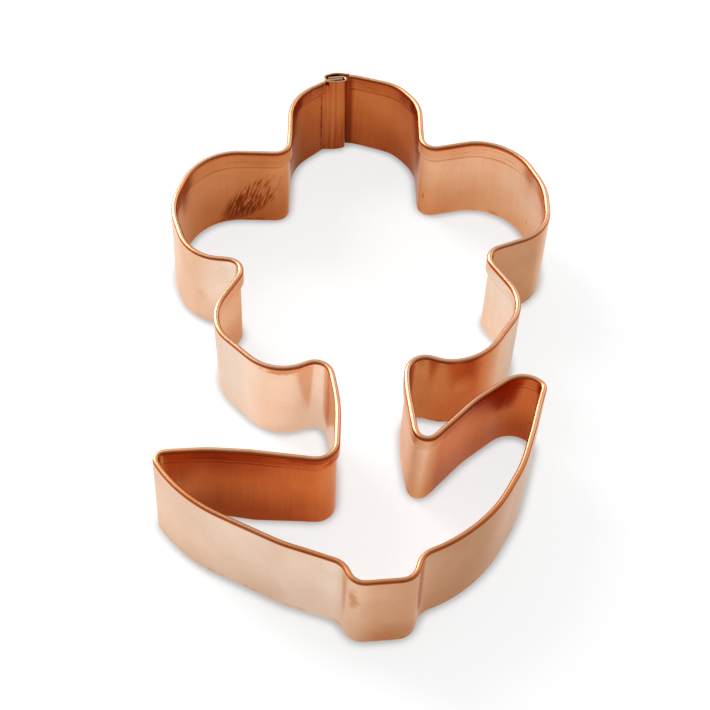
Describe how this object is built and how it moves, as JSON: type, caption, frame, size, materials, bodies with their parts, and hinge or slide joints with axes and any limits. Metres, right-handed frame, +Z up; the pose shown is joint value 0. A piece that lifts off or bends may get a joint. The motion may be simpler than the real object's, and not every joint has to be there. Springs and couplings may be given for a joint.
{
  "type": "cookie cutter",
  "caption": "Flower-shaped cookie cutter with a stem and leaves: an upright copper strip with a folded rim on top, a plain cutting edge below and a lock seam.",
  "frame": {"origin": "middle of the plan, on the plane of the cutting edge", "axes": "+Z up from the cutting edge to the folded rim, +Y up the stem to the top petal, +X to the right seen from above"},
  "size_m": [0.0814, 0.1263, 0.0222],
  "materials": {
    "copper": "burnished sheet copper, faintly tarnished and scuffed"
  },
  "bodies": {
    "root": {"seam_inner_hook": "copper", "petal_top_left": "copper", "petal_upper_left": "copper", "petal_lower_left": "copper", "stem_left": "copper", "leaf_left_upper": "copper", "leaf_left_lower": "copper", "foot": "copper", "leaf_right_lower": "copper", "leaf_right_upper": "copper", "stem_right": "copper", "petal_lower_right": "copper", "petal_upper_right": "copper", "petal_top_right": "copper", "seam_outer_hook": "copper"}
  },
  "joints": []
}
